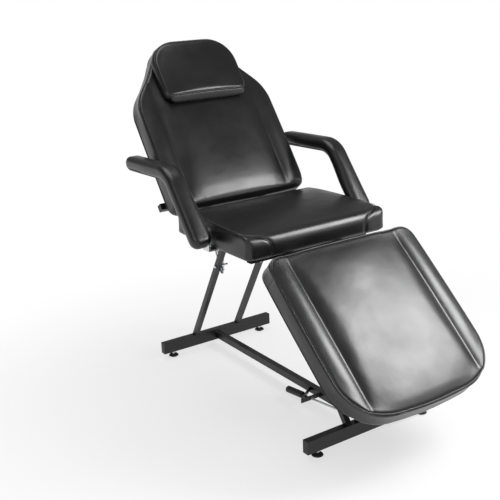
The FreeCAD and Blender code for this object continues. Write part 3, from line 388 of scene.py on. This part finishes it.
# a round cord of vinyl along a line: welt piping
def piping(name, points, radius, closed, place, body):
    count = len(points)
    ahead = np.roll(points, -1, axis=0) - np.roll(points, 1, axis=0)
    if not closed:
        ahead[0] = points[1] - points[0]
        ahead[-1] = points[-1] - points[-2]
    ahead /= np.linalg.norm(ahead, axis=1)[:, None]
    lift = np.tile(cord["up"], (count, 1))
    side = np.cross(ahead, lift)
    side /= np.linalg.norm(side, axis=1)[:, None]
    over = np.cross(side, ahead)
    work = bmesh.new()
    rings = []
    for index in range(count):
        ring = []
        for corner in range(cord["sides"]):
            angle = corner * 2 * math.pi / cord["sides"]
            out = side[index] * math.cos(angle) + over[index] * math.sin(angle)
            ring.append(work.verts.new(points[index] + out * radius))
        rings.append(ring)
    for index in range(count if closed else count - 1):
        first, second = rings[index], rings[(index + 1) % count]
        for corner in range(cord["sides"]):
            beside = (corner + 1) % cord["sides"]
            work.faces.new((first[corner], first[beside], second[beside], second[corner]))
    if not closed:
        work.faces.new(rings[0])
        work.faces.new(list(reversed(rings[-1])))
    bmesh.ops.recalc_face_normals(work, faces=work.faces)
    mesh = bpy.data.meshes.new(name)
    work.to_mesh(mesh)
    work.free()
    mesh.transform(place)
    mesh.shade_smooth()
    mesh.materials.append(looks["vinyl"])
    obj = bpy.data.objects.new(name, mesh)
    scene.collection.objects.link(obj)
    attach(obj, body)
    return obj


# lines of a padded piece that stay put while it is blown up: its board side, its face edge and its valleys
heldBand = {"board": 0.014, "half": 0.004, "facing": 0.8}


def panelHeld(edge, valley):
    def held(points, normals):
        hold = (points[:, 2] < heldBand["board"]).astype(float)
        hold[np.abs(points[:, 2] - edge) < heldBand["half"]] = 1.0
        if valley:
            inValley = np.abs(np.abs(points[:, 0]) - valley) < heldBand["half"]
            hold[inValley & (normals[:, 2] > heldBand["facing"])] = 1.0
        return hold
    return held


# middle line of an armrest in side view: flat, round the bend and down, with its welt below the line
armLine = {"rear": Vector((0.471, 0.846)), "bend": Vector((0.186, 0.852)), "low": Vector((0.020, 0.642)),
           "radius": 0.095, "steps": 16, "past": 0.05, "welt": -0.019}


def armMiddle():
    flat = (armLine["bend"] - armLine["rear"]).normalized()
    down = (armLine["low"] - armLine["bend"]).normalized()
    reach = armLine["radius"] * math.tan(flat.angle(down) / 2)
    start = armLine["bend"] - flat * reach
    finish = armLine["bend"] + down * reach
    centre = start - Vector((flat.y, -flat.x)) * armLine["radius"]
    line = [armLine["rear"] - flat * armLine["past"], start]
    for step in range(1, armLine["steps"]):
        spoke = (start - centre).lerp(finish - centre, step / armLine["steps"])
        line.append(centre + spoke.normalized() * armLine["radius"])
    return line + [finish, armLine["low"] + down * armLine["past"]]


# how far each point lies above the middle line of its arm
def armHeight(points):
    line = armMiddle()
    best = np.full(len(points), np.inf)
    height = np.zeros(len(points))
    plan = points[:, :2]
    for first, second in zip(line, line[1:]):
        way = np.array(second - first)
        length = np.linalg.norm(way)
        way /= length
        rise = np.array((way[1], -way[0]))
        off = plan - np.array(first)
        along = np.clip(off @ way, 0, length)
        gap = np.linalg.norm(off - along[:, None] * way, axis=1)
        nearer = gap < best
        best[nearer] = gap[nearer]
        height[nearer] = (off @ rise)[nearer]
    return height


def armWelt(points):
    return armHeight(points) - armLine["welt"]


def armHeld(points, normals):
    return (np.abs(armWelt(points)) < heldBand["half"]).astype(float)


# the rolls along both sides stand up from sharp valleys, and the face falls away towards its lower end
# stretch: where the rolls start and stop and how they fade; fall: the lower end, its reach and its drop
roll = {"lift": 0.0005, "width": 0.024, "valleyDepth": 0.005, "valleyWidth": 0.010, "facing": (0.3, 0.8),
        "fallFacing": (0.2, 0.7)}


def panelForm(rollTop, valley, stretch, fall):
    def form(points, normals):
        points = points.copy()
        across = np.abs(points[:, 0])
        low, high, fade = stretch
        share = smooth(normals[:, 2], *roll["facing"])
        share *= smooth(points[:, 1], low, low + fade) * smooth(-points[:, 1], -high, fade - high)
        points[:, 2] += share * roll["lift"] * np.exp(-((across - rollTop) / roll["width"]) ** 2)
        points[:, 2] -= share * roll["valleyDepth"] * np.exp(-np.abs(across - valley) / roll["valleyWidth"])
        end, reach, drop = fall
        near = np.clip((end + reach - points[:, 1]) / reach, 0, 1)
        points[:, 2] -= drop * near * near * smooth(normals[:, 2], *roll["fallFacing"])
        return points
    return form


# the pillow's lower end is one slope from a crease in its front down to the back
pillowEnd = {"crease": 0.463, "solidEnd": 0.431, "end": 0.426, "thick": 0.044, "crown": 0.008, "half": 0.184,
             "bulge": 1.2, "plain": 0.155, "corner": 0.186, "rear": 0.001}


def pillowForm(points, normals):
    made = points.copy()
    out = (pillowEnd["crease"] - points[:, 1]) / (pillowEnd["crease"] - pillowEnd["solidEnd"])
    face = pillowEnd["thick"] - pillowEnd["crown"] * (points[:, 0] / pillowEnd["half"]) ** 2
    up = points[:, 2] / face
    slope = (out > 0) & (points[:, 2] > pillowEnd["rear"])
    power = pillowEnd["bulge"]
    far = (np.abs(out[slope]) ** power + np.abs(up[slope]) ** power) ** (1 / power)
    out[slope] /= far
    made[slope, 2] = face[slope] * up[slope] / far
    low = out > 0
    made[low, 1] = pillowEnd["crease"] - out[low] * (pillowEnd["crease"] - pillowEnd["end"])
    share = 1 - smooth(np.abs(points[:, 0]), pillowEnd["plain"], pillowEnd["corner"])
    return points + (made - points) * share[:, None]


# both ends of an arm pad are round in plan: the solid's flat end with round corners is drawn in to an ellipse
armEnd = {"start": 0.011, "most": 0.0365, "half": 0.037, "long": 0.040,
          "flat": 0.014, "corner": 0.023, "cornerMost": 0.0225}
# its lower half bulges over the bracket on its inner side, fully below one height and not above the other
armBulge = {"full": 0.70, "none": 0.80, "share": 0.27}


def armForm(inward):
    def form(points, normals):
        points = points.copy()
        for end in ("low", "rear"):
            way = np.array((armLine[end] - armLine["bend"]).normalized())
            past = (points[:, :2] - np.array(armLine[end])) @ way + armEnd["start"]
            past = np.clip(past, 0, armEnd["most"])
            turn = np.clip(past - armEnd["flat"], 0, armEnd["cornerMost"])
            solid = armEnd["flat"] + np.sqrt(armEnd["corner"] ** 2 - turn ** 2)
            points[:, 2] *= armEnd["half"] * np.sqrt(1 - (past / armEnd["long"]) ** 2) / solid
        ramp = smooth(-points[:, 1], -armBulge["none"], -armBulge["full"])
        inner = points[:, 2] * inward > 0
        points[inner, 2] *= 1 + armBulge["share"] * ramp[inner]
        return points
    return form


# a cover starts inside its solid by its slack, is blown up by its cap at most, and is ironed some rounds
panel = {"voxel": 0.007, "slack": 0.004, "cap": 0.014, "stiff": 20.0, "pressure": 4.0, "iron": 20,
         "fill": 0.75}
armPad = {"body": "base", "voxel": 0.005, "slack": 0.002, "cap": 0.005, "stiff": 20.0, "pressure": 4.0,
          "iron": 12, "fill": 0.85, "held": armHeld}
soft = {
    "seatCushion": {**panel, "node": "seat_cushion", "place": "seat", "body": "base",
                    "slack": 0.003, "cap": 0.012, "fill": 0.8, "held": panelHeld(edge=0.074, valley=0)},
    "backCushion": {**panel, "node": "back_cushion", "place": "back", "body": "back",
                    "held": panelHeld(edge=0.071, valley=0.215),
                    "form": panelForm(rollTop=0.256, valley=0.215, stretch=(0.04, 0.46, 0.08),
                                      fall=(0.026, 0.080, 0.010))},
    "legCushion": {**panel, "node": "leg_cushion", "place": "leg", "body": "leg_rest",
                   "held": panelHeld(edge=0.071, valley=0.225),
                   "form": panelForm(rollTop=0.265, valley=0.225, stretch=(-0.60, -0.01, 0.07),
                                     fall=(-0.617, 0.05, 0.007))},
    "headPillow": {"node": "head_pillow", "place": "pillow", "body": "pillow", "voxel": 0.005, "slack": 0.003,
                   "cap": 0.010, "stiff": 15.0, "pressure": 4.0, "iron": 12, "fill": 0.7,
                   "held": panelHeld(edge=0.028, valley=0), "form": pillowForm},
    "armPadLeft": {**armPad, "node": "arm_pad_left", "place": "armLeft", "form": armForm(inward=-1)},
    "armPadRight": {**armPad, "node": "arm_pad_right", "place": "armRight", "form": armForm(inward=1)},
}


# height above a cover's welt, which runs level along the sides and drops towards the lower end
def bentWelt(level, low, drop, reach):
    def height(points):
        near = np.clip((low + reach - points[:, 1]) / reach, 0, 1)
        return points[:, 2] - level + drop * near * near * (3 - 2 * near)
    return height


def levelWelt(level):
    return lambda points: points[:, 2] - level


# each welt's height function and the radius of its cord
welts = {
    "legCushion": {"front": (levelWelt(0.071), 0.0023), "rear": (levelWelt(0.008), 0.0018)},
    "backCushion": {"front": (bentWelt(level=0.071, low=0.026, drop=0.040, reach=0.05), 0.0021),
                    "rear": (levelWelt(0.008), 0.0018)},
    "headPillow": {"front": (bentWelt(level=0.028, low=0.458, drop=-0.008, reach=0.03), 0.0018)},
    "armPadLeft": {"under": (armWelt, 0.0018)},
    "armPadRight": {"under": (armWelt, 0.0018)},
}
weltLine = {"pitch": 0.006, "rounds": 6, "reach": 0.004}

# sewn lines of the seat: along each upper side edge and, in a curve, round a corner piece and down the front
seatSeam = {"points": [(0.296, 0.270, 0.080), (0.297, 0.10, 0.081), (0.297, -0.05, 0.081),
                       (0.294, -0.11, 0.081), (0.283, -0.142, 0.082), (0.262, -0.160, 0.082),
                       (0.238, -0.171, 0.078), (0.217, -0.179, 0.068), (0.204, -0.184, 0.054),
                       (0.199, -0.184, 0.036), (0.198, -0.184, 0.014)],
            "pitch": 0.004, "rounds": 12, "depth": 0.0035, "reach": 0.006,
            "cordPitch": 0.005, "cordRounds": 6, "radius": 0.0011}

# sewn joins in the side bands of the leg rest's cover, through these heights in millimetres
legJoin = {"side": 0.301, "along": -0.082, "heights": range(10, 70, 2), "depth": 0.0018, "reach": 0.003}


def surfaceOf(mesh):
    work = bmesh.new()
    work.from_mesh(mesh)
    skin = BVHTree.FromBMesh(work)
    work.free()
    return skin


def sewSeat(mesh, place, body):
    skin = surfaceOf(mesh)
    for way, side in ((1, "Left"), (-1, "Right")):
        line = evenLine([(way * x, y, z) for x, y, z in seatSeam["points"]], seatSeam["pitch"], False,
                        seatSeam["rounds"])
        line = np.array([list(skin.find_nearest(point)[0]) for point in line])
        sewIn(mesh, line, seatSeam["depth"], seatSeam["reach"])
        line = evenLine(line, seatSeam["cordPitch"], False, seatSeam["cordRounds"])
        piping("seatSeam" + side, line, seatSeam["radius"], False, place, body)


def sewLeg(mesh):
    for way in (1, -1):
        line = [(way * legJoin["side"], legJoin["along"], height / 1000) for height in legJoin["heights"]]
        sewIn(mesh, line, legJoin["depth"], legJoin["reach"])


for name, spec in soft.items():
    place = places[spec["place"]]
    obj = blowUp(name, spec["node"], place, spec)
    if "form" in spec:
        writePoints(obj.data, spec["form"](readPoints(obj.data), readNormals(obj.data)))
    mesh = divideOnce(obj)
    if name == "seatCushion":
        sewSeat(mesh, place, spec["body"])
    if name == "legCushion":
        sewLeg(mesh)
    for part, (height, radius) in welts.get(name, {}).items():
        longest = zeroLines(mesh, height(readPoints(mesh)))[0]
        line = evenLine(longest, weltLine["pitch"], True, weltLine["rounds"])
        sewIn(mesh, line, radius, weltLine["reach"])
        piping(name + part.capitalize() + "Welt", line, radius, True, place, spec["body"])
    mesh.transform(place)
    mesh.shade_smooth()
    mesh.materials.clear()
    mesh.materials.append(looks["vinyl"])
    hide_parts(spec["node"])
    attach(obj, spec["body"])
print("padded pieces:", len(soft))

# camera of the photograph: a long lens from the front, a little above and to one side, rolled slightly
shot = {"azimuth": -33.1, "elevation": 17.4, "roll": -2.5, "distance": 3.1155,
        "target": (-0.0976, 0.1098, 0.5374), "sensor": 36, "focalPixels": 858.6, "widthPixels": 500}
turn, rise, tip = (math.radians(shot[key]) for key in ("azimuth", "elevation", "roll"))
backward = Vector((math.sin(turn) * math.cos(rise), -math.cos(turn) * math.cos(rise), math.sin(rise)))
sideways = Vector((math.cos(turn), math.sin(turn), 0))
upward = backward.cross(sideways)
rolledSide = sideways * math.cos(tip) + upward * math.sin(tip)
rolledUp = upward * math.cos(tip) - sideways * math.sin(tip)
camera = bpy.data.objects.new("camera", bpy.data.cameras.new("camera"))
scene.collection.objects.link(camera)
camera.data.lens = shot["focalPixels"] * shot["sensor"] / shot["widthPixels"]
camera.data.sensor_width = shot["sensor"]
camera.matrix_world = Matrix((rolledSide, rolledUp, backward)).transposed().to_4x4()
camera.location = Vector(shot["target"]) + backward * shot["distance"]
scene.camera = camera

# studio: a pale floor that turns plain white away from the table, a white backdrop and soft lamps
scene.view_settings.view_transform = "Standard"


def joinMath(tree, operation, first, second):
    return addNode(tree, "ShaderNodeMath", {0: first, 1: second}, operation=operation).outputs[0]


# the backdrop is white to the eye; shiny pieces see it white near the floor and dim overhead
backdrop = {"white": 1.0, "dim": 0.25, "whiteUnder": 0.05, "dimOver": 0.25}
world = bpy.data.worlds.new("studio")
scene.world = world
world.use_nodes = True
air = world.node_tree
air.nodes.clear()
rays = addNode(air, "ShaderNodeLightPath").outputs
aim = addNode(air, "ShaderNodeSeparateXYZ", {0: addNode(air, "ShaderNodeTexCoord").outputs["Generated"]})
nearFloor = addNode(air, "ShaderNodeMapRange", {"Value": aim.outputs["Z"], "To Min": 1.0, "To Max": 0.0,
                                                "From Min": backdrop["whiteUnder"],
                                                "From Max": backdrop["dimOver"]})
shown = joinMath(air, "MULTIPLY", rays["Is Glossy Ray"], nearFloor.outputs["Result"])
for ray in ("Is Camera Ray", "Is Transmission Ray"):
    shown = joinMath(air, "MAXIMUM", shown, rays[ray])
strength = addNode(air, "ShaderNodeMapRange", {"Value": shown, "To Min": backdrop["dim"],
                                               "To Max": backdrop["white"]})
glow = addNode(air, "ShaderNodeBackground", {"Color": (1, 1, 1, 1), "Strength": strength.outputs["Result"]})
addNode(air, "ShaderNodeOutputWorld", {"Surface": glow.outputs[0]})

# matt white painted floor: it keeps a soft shadow near the table and is plain white further out
floorLook = {"colour": "#f6f6f6", "roughness": 0.7, "half": 400, "near": 0.5, "far": 1.7, "whiteNear": 0.65}
floorMesh = bpy.data.meshes.new("floor")
plane = bmesh.new()
bmesh.ops.create_grid(plane, x_segments=1, y_segments=1, size=floorLook["half"])
plane.to_mesh(floorMesh)
plane.free()
floor = bpy.data.objects.new("floor", floorMesh)
scene.collection.objects.link(floor)
pale, tree, shader, coords = newMaterial("pale_floor", floorLook["colour"], Roughness=floorLook["roughness"])
away = addNode(tree, "ShaderNodeVectorMath", {0: coords}, operation="LENGTH")
fade = addNode(tree, "ShaderNodeMapRange", {"Value": away.outputs["Value"], "From Min": floorLook["near"],
                                            "From Max": floorLook["far"], "To Min": floorLook["whiteNear"]},
               interpolation_type="SMOOTHSTEP")
rays = addNode(tree, "ShaderNodeLightPath").outputs
seen = joinMath(tree, "MAXIMUM", rays["Is Camera Ray"], rays["Is Transmission Ray"])
seen = joinMath(tree, "MAXIMUM", seen, rays["Is Glossy Ray"])
seen = joinMath(tree, "MULTIPLY", seen, fade.outputs["Result"])
plain = addNode(tree, "ShaderNodeEmission", {"Color": (1, 1, 1, 1), "Strength": 1.0})
mix = addNode(tree, "ShaderNodeMixShader", {0: seen, 1: shader.outputs[0], 2: plain.outputs[0]})
tree.links.new(mix.outputs[0], tree.nodes["Material Output"].inputs["Surface"])
floor.data.materials.append(pale)

lamps = {
    "softbox": {"at": (1.0, -1.16, 1.50), "to": (0, -0.5, 0.4), "size": 0.85, "power": 36},
    "key": {"at": (-2.2, -1.6, 2.4), "to": (0, 0, 0.7), "size": 1.4, "power": 14},
    "ceiling": {"at": (-0.4, 0.6, 3.6), "to": (0, 0, 0), "size": 2.4, "power": 50},
}
for name, spec in lamps.items():
    lamp = bpy.data.lights.new(name, "AREA")
    lamp.size = spec["size"]
    lamp.energy = spec["power"]
    obj = bpy.data.objects.new(name, lamp)
    obj.visible_camera = False
    scene.collection.objects.link(obj)
    obj.location = spec["at"]
    obj.rotation_euler = (Vector(spec["to"]) - Vector(spec["at"])).to_track_quat("-Z", "Y").to_euler()
print("studio:", len(lamps), "lamps, floor and backdrop")
